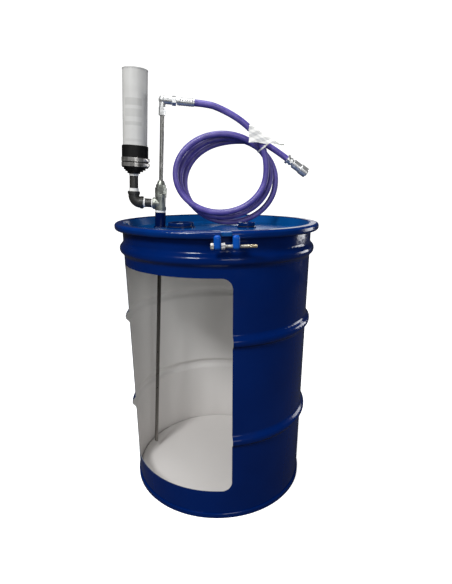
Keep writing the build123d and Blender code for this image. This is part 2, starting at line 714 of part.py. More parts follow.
def hose():
    """The lead from the elbow, the coil's outer shape and the tail to the coupler."""
    start = (arm_axis * Pos(0, 0, hose_ferrule_end)).position
    arm_direction = (arm_axis * Pos(0, 0, hose_ferrule_end + 1)).position - start
    coil_start, coil_end = coil_point(0), coil_point(coil_turns)
    lead = [start, start + arm_direction * lead_straight, *map(above_panel, lead_points),
            coil_start - coil_direction(0) * coil_run, coil_start]
    tail = [coil_end, coil_end + coil_direction(coil_turns) * coil_run,
            *map(above_panel, tail_points), above_panel(coupler_point)]
    lead_tube = run_tube("hose_lead", lead)
    tail_tube = run_tube("hose_tail", tail)
    below = Pos(0, 0, panel_top + coil_floor_gap - 50) * Box(900, 900, 100)
    keep("hose_coil", coil_band(0) - below - lead_tube - tail_tube)
    keep("hose_lead", lead_tube)
    keep("hose_tail", tail_tube)
    steps = round(360 * coil_turns)
    print("coil length", round(sum((coil_point((i + 1) / 360) - coil_point(i / 360)).length
                                   for i in range(steps))))


def tie_and_tag():
    """The tie round the bundle at the coil's upper right, and the blank folded tag."""
    centre = coil_centre(coil_turns / 2)
    slab = Pos(centre.X, 0, centre.Z) * Rot(0, -tie_angle, 0) * Pos(160, 110, 0)
    slab *= Box(200, 400, tie_width)
    ring = coil_band(tie_wall + 0.4) - coil_band(0.4)
    keep("hose_tie", (ring & slab) - pieces["hose_lead"] - pieces["hose_tail"])
    corners = [(x, 0, panel_top + height) for x, height in tag_corners]
    face = make_face(Polyline(*corners, close=True))
    keep("paper_tag", Pos(0, tag_y, 0) * extrude(face, tag_thickness, dir=(0, -1, 0)))


# ---- Coupler ----------------------------------------------------------------------------
def coupler():
    """The quick coupler on the hose's free end: ferrule, body, sleeve, balls and valve."""
    start = above_panel(coupler_point)
    place = Plane(origin=start, z_dir=start - above_panel(tail_points[-1])).location
    hex_end = outlet_ferrule_length + coupler_hex
    ferrule = rod(hose_radius + outlet_collar_wall, 0, outlet_collar)
    ferrule += crimped_ferrule(outlet_collar, outlet_ferrule_length)
    ferrule += rod(stem_radius, outlet_ferrule_length, hex_end)
    ferrule -= rod(outlet_bore, 3, hex_end + 1)
    keep("outlet_ferrule", place * ferrule)

    mouth = coupler_length - coupler_mouth_depth
    seat = mouth - coupler_seat_length
    chamber = seat - coupler_chamber_length
    body = hexagon(coupler_flats, outlet_ferrule_length, hex_end)
    body += rod(coupler_radius, hex_end, coupler_length)
    body -= rod(stem_radius, outlet_ferrule_length - 1, hex_end)
    body -= rod(coupler_chamber, chamber, seat) + rod(coupler_seat, hex_end - 1, mouth)
    body -= rod(coupler_mouth, mouth, coupler_length + 1)
    sleeve_end = sleeve_start + sleeve_length
    groove = pipe(coupler_radius + 1, coupler_radius - 0.5, sleeve_end + 0.5,
                  sleeve_end + 0.5 + snap_ring_wall)
    body -= groove
    ball_circle = coupler_radius - ball_radius - slide_gap
    balls = Part()
    for step in range(ball_count):
        turn = Rot(0, 0, 360 * step / ball_count)
        body -= turn * Pos(coupler_radius, 0, ball_place) * Rot(0, 90, 0) * Cylinder(
            ball_radius + slide_gap, 10)
        balls += turn * Pos(ball_circle, 0, ball_place) * Sphere(ball_radius)
    keep("coupler_body", place * body)
    keep("coupler_balls", place * balls)
    keep("snap_ring", place * pipe(coupler_radius + 1, coupler_radius - 0.5,
                                   sleeve_end + 0.5, sleeve_end + 0.5 + snap_ring_wall))
    sleeve = rod(sleeve_radius, sleeve_start + 1, sleeve_end)
    sleeve += cone(sleeve_radius - 1, sleeve_radius, sleeve_start, sleeve_start + 1)
    flange_start = sleeve_end - sleeve_flange
    sleeve += cone(sleeve_radius, sleeve_flange_radius, flange_start - 2, flange_start)
    sleeve += rod(sleeve_flange_radius, flange_start, sleeve_end - 1)
    sleeve += cone(sleeve_flange_radius, sleeve_flange_radius - 1, sleeve_end - 1, sleeve_end)
    sleeve -= rod(coupler_radius + slide_gap, sleeve_start - 1, sleeve_end + 1)
    keep("coupler_sleeve", place * sleeve)
    poppet = rod(coupler_chamber - slide_gap, seat - poppet_length, seat - seat_gap)
    poppet += rod(poppet_nose_radius, seat - 1, seat + poppet_nose)
    poppet -= rod(poppet_nose_radius, seat - poppet_length - 1, seat - 4)
    keep("coupler_poppet", place * poppet)


# ---- Build and write --------------------------------------------------------------------
drum()
cover_and_ring()
ring_bolt()
bung_fitting("large", large_bung)
bung_fitting("small", small_bung)
lower_adapter()
gland()
branch_pipes()
boot()
worm_clamp("lower", boot_foot + clamp_first)
worm_clamp("upper", boot_foot + clamp_first + clamp_spacing)
breather()
dip_tube()
outlet()
hose()
tie_and_tag()
coupler()

os.makedirs("parts", exist_ok=True)
for node, shape in pieces.items():
    export_step(shape, f"parts/{node}.step")
print(len(pieces), "nodes; dip tube's axis foot", (adapter * Pos(0, 0, -tube_drop)).position)
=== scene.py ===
# %% [markdown]
# # A cut-away drum with a transfer adapter
#
# The object is an open-head steel drum whose front and left side are cut away to show the
# inside. A transfer adapter stands on its cover: a dip tube through a tee, a desiccant
# breather, and a coiled hose with a quick coupler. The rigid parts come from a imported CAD
# model. This lesson gives them their finishes and builds the hose and the small details.

# %% Load the frame
from math import cos, floor, pi, radians, sin

import bmesh
import bpy
from mathutils import Matrix, Vector
from mathutils.geometry import convex_hull_2d


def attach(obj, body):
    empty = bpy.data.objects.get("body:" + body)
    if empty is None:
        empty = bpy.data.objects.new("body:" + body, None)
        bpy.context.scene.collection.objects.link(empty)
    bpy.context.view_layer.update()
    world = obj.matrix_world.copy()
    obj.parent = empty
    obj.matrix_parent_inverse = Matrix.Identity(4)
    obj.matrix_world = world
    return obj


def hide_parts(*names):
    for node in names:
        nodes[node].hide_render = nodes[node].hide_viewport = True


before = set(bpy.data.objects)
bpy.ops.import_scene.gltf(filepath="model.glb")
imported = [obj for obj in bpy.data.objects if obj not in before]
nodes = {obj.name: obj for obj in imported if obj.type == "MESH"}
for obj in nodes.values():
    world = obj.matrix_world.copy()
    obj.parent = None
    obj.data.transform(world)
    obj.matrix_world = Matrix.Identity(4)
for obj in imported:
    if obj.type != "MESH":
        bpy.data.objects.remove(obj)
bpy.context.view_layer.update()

# %% [markdown]
# ## Camera
#
# The drum is seen from a little above its rim and almost straight on. A short lens close to
# the drum gives the strong perspective: the rim is wide and the foot is narrow. A vertical
# shift keeps the whole height in the picture without tilting the camera further.

# %% Camera
camera_data = bpy.data.cameras.new("camera")
camera_data.sensor_width = 36.0
camera_data.lens = 25.6
camera_data.shift_y = 0.0527
camera = bpy.data.objects.new("camera", camera_data)
bpy.context.scene.collection.objects.link(camera)
pitch, yaw = 0.3233, 0.0211
forward = Vector((sin(yaw) * cos(pitch), cos(yaw) * cos(pitch), -sin(pitch)))
right = Vector((cos(yaw), -sin(yaw), 0))
up = right.cross(forward)
turn = Matrix((right, up, -forward)).transposed().to_4x4()
camera_place = Vector((0.0, -1.3204, 0.9866))
camera.matrix_world = Matrix.Translation(camera_place) @ turn
bpy.context.scene.camera = camera
print("camera looks down by", round(pitch * 180 / pi, 1), "degrees")

# %% [markdown]
# ## Floor and light
#
# A product picture on white needs a white surround, but a glossy dark drum in a white room
# turns grey. So the surround and the floor are white where the camera sees them directly and
# dark where the paint mirrors them. The floor runs up behind the drum in one curve, so no
# horizon shows. Large soft lights at the sides draw the long highlights on the paint, and a
# faint one low behind the drum lays a sheen on its cover.


# %% Floor and surround
def surround():
    """A world that is white to look at, medium for soft light and black in reflections."""
    world = bpy.data.worlds.new("surround")
    world.use_nodes = True
    tree = world.node_tree
    tree.nodes.clear()
    path = tree.nodes.new("ShaderNodeLightPath")
    seen, fill, mirrored = (tree.nodes.new("ShaderNodeBackground") for _ in range(3))
    for background, strength in ((seen, 1.0), (fill, 0.56), (mirrored, 0.0)):
        background.inputs["Color"].default_value = (1, 1, 1, 1)
        background.inputs["Strength"].default_value = strength
    by_gloss, by_camera = (tree.nodes.new("ShaderNodeMixShader") for _ in range(2))
    output = tree.nodes.new("ShaderNodeOutputWorld")
    for start, end in ((path.outputs["Is Glossy Ray"], by_gloss.inputs[0]),
                       (fill.outputs[0], by_gloss.inputs[1]),
                       (mirrored.outputs[0], by_gloss.inputs[2]),
                       (path.outputs["Is Camera Ray"], by_camera.inputs[0]),
                       (by_gloss.outputs[0], by_camera.inputs[1]),
                       (seen.outputs[0], by_camera.inputs[2]),
                       (by_camera.outputs[0], output.inputs["Surface"])):
        tree.links.new(start, end)
    return world


bpy.context.scene.world = surround()
bpy.context.scene.view_settings.view_transform = "Standard"

# %% Floor
floor_half, floor_back, sweep_radius, sweep_height = 9.0, 3.0, 2.0, 7.0
profile = [(-floor_half, 0.0), (floor_back, 0.0)]
for step in range(1, 17):
    angle = step * pi / 32
    profile.append((floor_back + sweep_radius * sin(angle), sweep_radius * (1 - cos(angle))))
profile.append((floor_back + sweep_radius, sweep_height))
floor_mesh = bpy.data.meshes.new("floor")
floor_mesh.from_pydata([(side * floor_half, y, z) for y, z in profile for side in (-1, 1)], [],
                       [(2 * i, 2 * i + 1, 2 * i + 3, 2 * i + 2)
                        for i in range(len(profile) - 1)])
floor_piece = bpy.data.objects.new("floor", floor_mesh)
bpy.context.scene.collection.objects.link(floor_piece)
print("floor and backdrop in", len(floor_mesh.polygons), "faces")


# %% Lights
def soft_light(name, place, target, size, power):
    """A square area light that faces a target."""
    data = bpy.data.lights.new(name, "AREA")
    data.size, data.energy = size, power
    light = bpy.data.objects.new(name, data)
    bpy.context.scene.collection.objects.link(light)
    aim = (Vector(target) - Vector(place)).to_track_quat("-Z", "Y")
    light.matrix_world = Matrix.Translation(place) @ aim.to_matrix().to_4x4()
    return light


soft_light("key", (-1.3, -2.2, 2.9), (0, 0, 0.7), 0.75, 86)
soft_light("side", (2.9, 1.3, 1.0), (0, 0, 0.6), 1.1, 26)
soft_light("front", (0.9, -3.4, 1.5), (0, 0, 0.6), 1.2, 24)
soft_light("sheen", (0.45, 2.7, 1.2), (0, 0, 0.86), 1.0, 3.0).visible_camera = False
soft_light("top", (-0.3, -0.2, 3.3), (0, 0, 0.9), 1.0, 50)
print("five soft lights")

# %% [markdown]
# ## A short way to write finishes
#
# Each finish is one material built from nodes. The class below adds a node, sets its inputs
# and links the ones that are given as sockets, so that a finish reads as a short recipe.


# %% Finish recipes
MIX_SHARE, MIX_FIRST, MIX_SECOND, MIX_COLOUR = 0, 6, 7, 2


class Finish:
    """One material, with short ways to add the nodes that this lesson uses."""

    def __init__(self, name, colour, roughness, metallic=0.0, **sockets):
        self.material = bpy.data.materials.new(name)
        self.material.use_nodes = True
        self.tree = self.material.node_tree
        self.shader = self.tree.nodes["Principled BSDF"]
        self.set("Base Color", (*colour, 1.0))
        self.set("Roughness", roughness)
        self.set("Metallic", metallic)
        for socket, value in sockets.items():
            self.set(socket.replace("_", " "), value)
        coordinates = self.tree.nodes.new("ShaderNodeTexCoord")
        self.place = coordinates.outputs["Object"]
        self.facing = coordinates.outputs["Normal"]
        self.along = coordinates.outputs["UV"]

    def set(self, socket, value):
        """Set one of the shader's sockets to a value, or link it."""
        self.fill(self.shader.inputs[socket], value)

    def fill(self, socket, value):
        """Set a socket to a value, or link it to another socket."""
        if isinstance(value, bpy.types.NodeSocket):
            self.tree.links.new(value, socket)
        else:
            socket.default_value = value

    def add(self, kind, *values, out=0, **settings):
        """A node with its first inputs filled in order. None leaves an input as it is."""
        node = self.tree.nodes.new(f"ShaderNode{kind}")
        for name, value in settings.items():
            setattr(node, name, value)
        for socket, value in zip(node.inputs, values):
            if value is not None:
                self.fill(socket, value)
        return node.outputs[out]

    def noise(self, scale, detail=3.0, stretch=(1, 1, 1), start=None):
        """A soft random pattern, stretched along the axes where wanted."""
        where = self.add("Mapping", start or self.place, None, None, stretch)
        return self.add("TexNoise", where, None, scale, detail)

    def between(self, value, low, high, to_low=0.0, to_high=1.0):
        """A number moved from one range to another, and held inside it."""
        return self.add("MapRange", value, low, high, to_low, to_high)

    def math(self, operation, a, b=0.0):
        """One sum on two numbers."""
        return self.add("Math", a, b, operation=operation)

    def mix(self, share, first, second):
        """A colour between two colours."""
        node = self.tree.nodes.new("ShaderNodeMix")
        node.data_type = "RGBA"
        for index, value in ((MIX_SHARE, share), (MIX_FIRST, first), (MIX_SECOND, second)):
            if isinstance(value, tuple):
                value = (*value, 1.0)
            self.fill(node.inputs[index], value)
        return node.outputs[MIX_COLOUR]

    def bump(self, height, strength, distance):
        """Raise the surface by a height pattern, over what an earlier bump has done."""
        node = self.tree.nodes.new("ShaderNodeBump")
        self.fill(node.inputs["Height"], height)
        node.inputs["Strength"].default_value = strength
        node.inputs["Distance"].default_value = distance
        earlier = self.shader.inputs["Normal"].links
        if earlier:
            self.tree.links.new(earlier[0].from_socket, node.inputs["Normal"])
        self.set("Normal", node.outputs[0])

    def parts(self, vector):
        """The three numbers of a vector."""
        node = self.tree.nodes.new("ShaderNodeSeparateXYZ")
        self.fill(node.inputs[0], vector)
        return node.outputs


def dress(finish, *names):
    """Give CAD nodes a finish."""
    for name in names:
        mesh = nodes[name].data
        mesh.materials.clear()
        mesh.materials.append(finish.material)


# %% Floor finish
floor_seen, floor_unseen, floor_glow = (0.9, 0.9, 0.9), (0.06, 0.06, 0.06), 0.62
pale_floor = Finish("pale floor", floor_seen, 0.9, Specular_IOR_Level=0.0)
pale_floor.bump(pale_floor.noise(60), 0.05, 0.001)
pale_floor.set("Emission Color", (1.0, 1.0, 1.0, 1.0))
light_path = pale_floor.tree.nodes.new("ShaderNodeLightPath").outputs
to_camera = light_path["Is Camera Ray"]
pale_floor.set("Emission Strength", pale_floor.math("MULTIPLY", to_camera, floor_glow))
pale_floor.set("Base Color", pale_floor.mix(to_camera, floor_unseen, floor_seen))
floor_mesh.materials.append(pale_floor.material)

# %% [markdown]
# ## The hose
#
# A hose is a fixed length of something stiff, so it never follows straight runs. One NURBS
# spline with a round bevel gives a line that bends smoothly everywhere. Its control points
# are the lead from the elbow, the coil's turns, which a loop works out, and the tail to the
# coupler. The coil leans back as it winds, because each turn lies behind the last one.

# %% The hose's route
arm_direction = Vector((0.9922189, 0.1045285, -0.0676427))
arm_centre = Vector((-0.1579704, 0.05, 1.2206478))
hose_radius = 0.0095
arm_reach, straight_out = 0.093, 0.045
hose_exit = arm_centre + arm_direction * arm_reach
coil_centre = Vector((0.0093, 0.080, 1.0214))
coil_drift = Vector((0.0153, 0.0192, -0.01315))
coil_half_width, coil_half_height = 0.148, 0.1203
coil_growth = (0.0024, 0.00345)
strand_slack = (0.0, -0.003, 0.001, 0.0)
slack_angle, strand_change_angle = radians(-45.0), radians(135.0)
coil_start_angle, coil_turns = radians(5.0), 2.75
coil_run = 0.051
points_per_turn = 16
small_step = 0.001


def coil_point(turns, grow=1.0):
    """A point of the coil's line. Its strands lie unevenly at the lower right."""
    angle = coil_start_angle - 2 * pi * turns
    strand = int(turns + (strand_change_angle - coil_start_angle) / (2 * pi))
    slack = strand_slack[strand] * max(0.0, cos(angle - slack_angle)) ** 2
    half_width = coil_half_width + coil_growth[0] * turns + slack
    half_height = coil_half_height + coil_growth[1] * turns + slack
    reach = Vector((half_width * cos(angle), 0, half_height * sin(angle)))
    return coil_centre + coil_drift * turns + reach * grow


def coil_direction(turns):
    """The direction of travel along the coil at a number of turns."""
    return (coil_point(turns + small_step) - coil_point(turns - small_step)).normalized()


coupler_place = Vector((0.231, 0.142, 1.0645))
route = [hose_exit, hose_exit + arm_direction * straight_out,
         Vector((0.0124, 0.066, 1.2000)), Vector((0.054, 0.069, 1.1810)),
         Vector((0.094, 0.072, 1.1550)), Vector((0.128, 0.075, 1.1220)),
         coil_point(0) - coil_direction(0) * coil_run]
outward = 1 / cos(pi / points_per_turn) ** 0.75
steps = round(points_per_turn * coil_turns)
route += [coil_point(step / points_per_turn, outward) for step in range(steps + 1)]
route += [coil_point(coil_turns) + coil_direction(coil_turns) * coil_run,
          Vector((0.146, 0.1385, 1.1145)), Vector((0.190, 0.141, 1.092)), coupler_place]
print(len(route), "control points")


# %% The hose
def smooth_line(name, points, radius):
    """A round tube along one NURBS spline, whose control points are the given points."""
    curve = bpy.data.curves.new(name, "CURVE")
    curve.dimensions = "3D"
    spline = curve.splines.new("NURBS")
    spline.points.add(len(points) - 1)
    for control, point in zip(spline.points, points):
        control.co = (*point, 1.0)
    spline.order_u = 3
    spline.use_endpoint_u = True
    curve.resolution_u = 10
    curve.bevel_depth = radius
    curve.bevel_resolution = 7
    piece = bpy.data.objects.new(name, curve)
    bpy.context.scene.collection.objects.link(piece)
    return piece


def centre_line(piece):
    """The points of a curve's own line, without its bevel."""
    bevel, piece.data.bevel_depth = piece.data.bevel_depth, 0.0
    bpy.context.view_layer.update()
    evaluated = piece.evaluated_get(bpy.context.evaluated_depsgraph_get())
    line = bpy.data.meshes.new_from_object(evaluated)
    points = [v.co.copy() for v in line.vertices]
    bpy.data.meshes.remove(line)
    piece.data.bevel_depth = bevel
    return points


transfer_hose = smooth_line("transfer_hose", route, hose_radius)
hose_line = centre_line(transfer_hose)
hose_length = sum((b - a).length for a, b in zip(hose_line, hose_line[1:]))
print("hose length", round(hose_length, 3), "m, lowest point",
      round(min(p.z for p in hose_line) - hose_radius, 4))

# %% [markdown]
# ### The hose's finish
#
# The cover is purple rubber, cured inside a cloth wrap that leaves fine slanted ribs. The
# ribs follow the curve's own UV map: one direction runs along the hose, the other round it.

# %% Hose finish
hose_cover = Finish("purple hose cover", (0.06, 0.04, 0.23), 0.3, Specular_IOR_Level=0.6)
rib_pitch = 0.0026
lengthways, round_it = hose_cover.parts(hose_cover.along)[0:2]
wraps = hose_cover.math("MULTIPLY", lengthways, hose_length / rib_pitch)
slanted = hose_cover.math("ADD", wraps, round_it)
ridge = hose_cover.math("PINGPONG", slanted, 0.5)
hose_cover.bump(hose_cover.between(ridge, 0.0, 0.5), 0.35, 0.0004)
hose_cover.bump(hose_cover.noise(900), 0.12, 0.0003)
worn = hose_cover.between(hose_cover.noise(26, 4), 0.42, 0.66)
hose_cover.set("Base Color", hose_cover.mix(worn, (0.058, 0.044, 0.225), (0.1, 0.078, 0.32)))
hose_cover.set("Roughness", hose_cover.between(hose_cover.noise(60), 0.3, 0.7, 0.27, 0.45))
transfer_hose.data.materials.append(hose_cover.material)

# %% [markdown]
# ## Finishes of the CAD parts
#
# The drum is sprayed with deep blue gloss enamel. Sprayed enamel is never perfectly flat, so
# a slow, shallow bump gives it the orange peel that breaks up long reflections. Inside, the
# drum has a pale lining, with painted shade that darkens it towards the foot. Both are on one
# sheet of steel, so the material chooses between them by the way the surface faces.


# %% Drum paint and lining
# Where the lining's painted shade starts, where it is deepest, and how deep it gets.
painted_shade_top, painted_shade_foot, painted_shade_share = 0.55, 0.03, 0.9
window_foot, window_top = 0.09, 0.765
edge_limit, head_face_height = 0.08, 0.0185


def enamel(name, colour, deeper, inside=None):
    """Gloss enamel, with a pale lining where a rule says that the face is inside."""
    paint = Finish(name, colour, 0.16, Specular_IOR_Level=0.22)
    paint.bump(paint.noise(75, 1), 0.06, 0.004)
    cloud = paint.between(paint.noise(5, 3), 0.35, 0.7)
    coat = paint.mix(cloud, colour, deeper)
    dulled = paint.between(paint.noise(18, 4), 0.4, 0.75, 0.12, 0.26)
    if inside is None:
        paint.set("Base Color", coat)
        paint.set("Roughness", dulled)
        return paint
    share = inside(paint)
    height = paint.parts(paint.place)[2]
    streaks = paint.between(paint.noise(7, 5, (1, 1, 0.3)), 0.35, 0.7)
    lining = paint.mix(streaks, (0.78, 0.777, 0.765), (0.84, 0.837, 0.825))
    # Painted shade: the lining darkens towards the drum's foot.
    low = paint.between(height, painted_shade_foot, painted_shade_top, painted_shade_share, 0.0)
    lining = paint.mix(low, lining, (0.61, 0.59, 0.575))
    coat = paint.mix(cut_edge(paint), coat, (0.16, 0.18, 0.22))
    paint.set("Base Color", paint.mix(share, coat, lining))
    rough = paint.math("MULTIPLY", share, 0.42)
    paint.set("Roughness", paint.math("ADD", rough, dulled))
    return paint


def away_from_axis(paint):
    """How far a face looks away from the drum's axis: more than zero outside, less inside."""
    flat = paint.add("VectorMath", paint.place, (1, 1, 0), operation="MULTIPLY")
    return paint.add("VectorMath", flat, paint.facing, operation="DOT_PRODUCT", out=1)


def cut_edge(paint):
    """One on the sheet's bare cut edge round the window, between two heights."""
    height = paint.parts(paint.place)[2]
    thin = paint.math("LESS_THAN", paint.math("ABSOLUTE", away_from_axis(paint)), edge_limit)
    above = paint.math("GREATER_THAN", height, window_foot)
    below = paint.math("LESS_THAN", height, window_top)
    return paint.math("MULTIPLY", thin, paint.math("MULTIPLY", above, below))


def turned_inwards(paint):
    """One where a face looks at the drum's axis."""
    return paint.math("LESS_THAN", away_from_axis(paint), -edge_limit)


def head_inside(paint):
    """One on the upper face of the bottom head, inside the shell."""
    height = paint.parts(paint.place)[2]
    return paint.math("MULTIPLY", paint.math("GREATER_THAN", paint.parts(paint.facing)[2], -0.5),
                      paint.math("GREATER_THAN", height, head_face_height))


def cover_inside(paint):
    """One on the underside of the cover."""
    return paint.math("LESS_THAN", paint.parts(paint.facing)[2], -0.2)


blue, deep_blue = (0.0002, 0.0115, 0.092), (0.0002, 0.009, 0.074)
dress(enamel("drum enamel", blue, deep_blue, turned_inwards), "drum_shell")
dress(enamel("bottom enamel", blue, deep_blue, head_inside), "bottom_head")
# The cover's lighter blue is painted light: the shell's enamel, brightened for a top that faces the
# lamps and catches sheen.
dress(enamel("cover enamel painted lit", (0.0012, 0.055, 0.2), (0.001, 0.042, 0.17), cover_inside), "cover")
dress(enamel("ring enamel", (0.0004, 0.018, 0.115), deep_blue), "closing_ring")
# The lugs' bright blue is painted light: the ring's enamel, brightened for their lit tops.
dress(enamel("lug enamel painted lit", (0.003, 0.07, 0.36), (0.002, 0.05, 0.28)), "ring_lugs")
dress(enamel("plug enamel", (0.0006, 0.012, 0.075), (0.0005, 0.008, 0.055)),
      "large_bung_flange", "small_bung_flange", "large_bung_plug", "small_bung_plug")
navy_paint = enamel("navy enamel", (0.0006, 0.006, 0.045), (0.0005, 0.004, 0.034))
dress(navy_paint, "drum_neck")
print("blue enamel on the drum")

# %% [markdown]
# Bare metal shows its making. Galvanised iron has a cast grain and a mottled zinc skin, drawn
# tube has lines along its length, and plated fittings are bright with faint turning marks. The
# dip tube gets painted shade below the cover, with a painted reflection that lightens it
# towards its foot.


# %% Metals
def metal(name, colour, dark, roughness, grain, stretch=(1, 1, 1), depth=0.15):
    """A metal with a mottled colour, uneven gloss and a fine grain."""
    skin = Finish(name, colour, roughness, 0.8)
    mottle = skin.between(skin.noise(55, 5), 0.38, 0.66)
    skin.set("Base Color", skin.mix(mottle, dark, colour))
    skin.set("Roughness", skin.between(skin.noise(120, 3), 0.3, 0.7,
                                       roughness * 0.75, roughness * 1.3))
    skin.bump(skin.noise(grain, 4, stretch), depth, 0.0006)
    return skin


galvanised = metal("galvanised iron", (0.33, 0.35, 0.31), (0.18, 0.19, 0.17), 0.42, 700)
tube_steel = metal("drawn tube", (0.30, 0.30, 0.285), (0.19, 0.19, 0.18), 0.34, 500,
                   (1, 1, 0.04), 0.1)
# Below the cover the tube's colour is painted shade, with a painted reflection that lightens it
# towards the foot.
tube_reflection_range, tube_shade_edge = (0.05, 0.6), (0.84, 0.86)
tube_height = tube_steel.parts(tube_steel.place)[2]
shaded_tube_colour = tube_steel.mix(tube_steel.between(tube_height, *tube_reflection_range), (0.2, 0.19, 0.175),
                           (0.075, 0.071, 0.065))
tube_shade_share = tube_steel.between(tube_height, *tube_shade_edge, 1.0, 0.0)
clean_steel = tube_steel.shader.inputs["Base Color"].links[0].from_socket
tube_steel.set("Base Color", tube_steel.mix(tube_shade_share, clean_steel, shaded_tube_colour))
plated = metal("bright plating", (0.74, 0.75, 0.75), (0.54, 0.55, 0.55), 0.36, 900,
               depth=0.06)
zinc = metal("zinc plating", (0.7, 0.7, 0.72), (0.5, 0.5, 0.53), 0.28, 800)
clamp_steel = metal("clamp steel", (0.5, 0.49, 0.47), (0.28, 0.27, 0.26), 0.34, 900)
brass = metal("turned brass", (0.72, 0.5, 0.2), (0.5, 0.34, 0.13), 0.25, 900, depth=0.06)
dress(galvanised, "run_tee", "gland_body", "gland_nut", "neck_pipe")
dress(tube_steel, "dip_tube")
dress(plated, "tube_nut", "outlet_elbow", "arm_nut", "inlet_ferrule", "outlet_ferrule",
      "coupler_body", "coupler_sleeve", "coupler_balls", "snap_ring")
dress(zinc, "jam_nut", "lower_clamp_screw", "upper_clamp_screw")
dress(clamp_steel, "lower_clamp_band", "upper_clamp_band")
dress(brass, "coupler_poppet")


# %% [markdown]
# Plastics and rubber differ mostly in gloss and grain: cast black fittings are coarse, the
# moulded boot is dull, and the breather's tube is smooth with a satin sheen.

# %% Plastics, rubber and the rest
def plain(name, colour, other, roughness, grain, depth, gloss=0.5):
    """A moulded or soft material with cloudy colour and a fine grain."""
    skin = Finish(name, colour, roughness, Specular_IOR_Level=gloss)
    cloud = skin.between(skin.noise(20, 4), 0.35, 0.68)
    skin.set("Base Color", skin.mix(cloud, colour, other))
    skin.set("Roughness", skin.between(skin.noise(90, 3), 0.3, 0.7,
                                       roughness * 0.85, min(1.0, roughness * 1.2)))
    skin.bump(skin.noise(grain, 3), depth, 0.0008)
    return skin


black_iron = plain("black pipe", (0.016, 0.016, 0.015), (0.028, 0.027, 0.024), 0.42, 650, 0.25)
boot_rubber = plain("moulded rubber", (0.0025, 0.0025, 0.0025), (0.005, 0.005, 0.005), 0.5, 900,
                    0.12, 0.2)
canister_skin = plain("breather plastic", (0.43, 0.43, 0.42), (0.47, 0.47, 0.46), 0.38, 900,
                      0.04)
tape_white = plain("thread tape", (0.75, 0.75, 0.73), (0.62, 0.62, 0.6), 0.6, 600, 0.4)
gasket_black = plain("sponge gasket", (0.02, 0.02, 0.02), (0.035, 0.035, 0.035), 0.8, 500, 0.5)
felt = plain("filter felt", (0.62, 0.61, 0.58), (0.52, 0.51, 0.48), 0.95, 450, 0.8, 0.2)
beads = plain("silica beads", (0.6, 0.52, 0.4), (0.5, 0.3, 0.14), 0.4, 260, 0.9)
disc_plastic = plain("disc plastic", (0.5, 0.5, 0.5), (0.44, 0.44, 0.44), 0.5, 700, 0.1)
packing_white = plain("packing", (0.7, 0.69, 0.65), (0.6, 0.59, 0.55), 0.55, 500, 0.3)
dress(black_iron, "branch_pipe", "breather_elbow", "riser_pipe")
dress(boot_rubber, "rubber_boot")
dress(canister_skin, "breather_canister", "breather_cap")
dress(tape_white, "thread_tape")
dress(gasket_black, "cover_gasket", "large_bung_gasket", "small_bung_gasket")
dress(felt, "lower_pad", "upper_pad")
dress(beads, "desiccant")
dress(disc_plastic, "lower_disc", "upper_disc")
dress(packing_white, "gland_packing")

# %% [markdown]
# ### The breather's printed block
#
# The breather carries a printed notice. Only its plain shape is kept: pale grey bars, made
# where two distances meet, one along the leaning canister and one across it.

# %% Printed bars on the breather
adapter_foot = Vector((-0.183, 0.05, 0.8535))
adapter_up = Vector((0.0680153, 0.0, 0.9976843))
adapter_side = Vector((0.9976843, 0.0, -0.0680153))
breather_offset = -0.080
print_half_width = 0.024
print_bars = ((0.343, 0.362, 0.3), (0.313, 0.334, 0.2), (0.290, 0.300, 0.25),
              (0.246, 0.254, 0.15))


def measured_along(finish, axis):
    """The distance of a point from the adapter's foot, along an axis."""
    apart = finish.add("VectorMath", finish.place, adapter_foot, operation="SUBTRACT")
    return finish.add("VectorMath", apart, axis, operation="DOT_PRODUCT", out=1)


height = measured_along(canister_skin, adapter_up)
across = canister_skin.math("SUBTRACT", measured_along(canister_skin, adapter_side),
                            breather_offset)
near_middle = canister_skin.math("LESS_THAN", canister_skin.math("ABSOLUTE", across),
                                 print_half_width)
at_front = canister_skin.math("LESS_THAN", canister_skin.parts(canister_skin.facing)[1], 0.0)
print_area = canister_skin.math("MULTIPLY", near_middle, at_front)
skin_colour = canister_skin.shader.inputs["Base Color"].links[0].from_socket
for low, high, strength in print_bars:
    inside_bar = canister_skin.math("COMPARE", height, (low + high) / 2)
    inside_bar.node.inputs[2].default_value = (high - low) / 2
    share = canister_skin.math("MULTIPLY", canister_skin.math("MULTIPLY", inside_bar,
                                                           print_area), strength)
    skin_colour = canister_skin.mix(share, skin_colour, (0.2, 0.2, 0.19))
canister_skin.set("Base Color", skin_colour)
print(len(print_bars), "printed bars on the breather")

# %% [markdown]
# ## What repeats round a circle
#
# A weld is a row of overlapping beads, and a worm clamp's band has a row of slanted slots for
# its screw. Both are one small shape repeated round a circle, so one Geometry Nodes tree
# makes both: a circle becomes points, each point gets the shape, turned to face outwards.


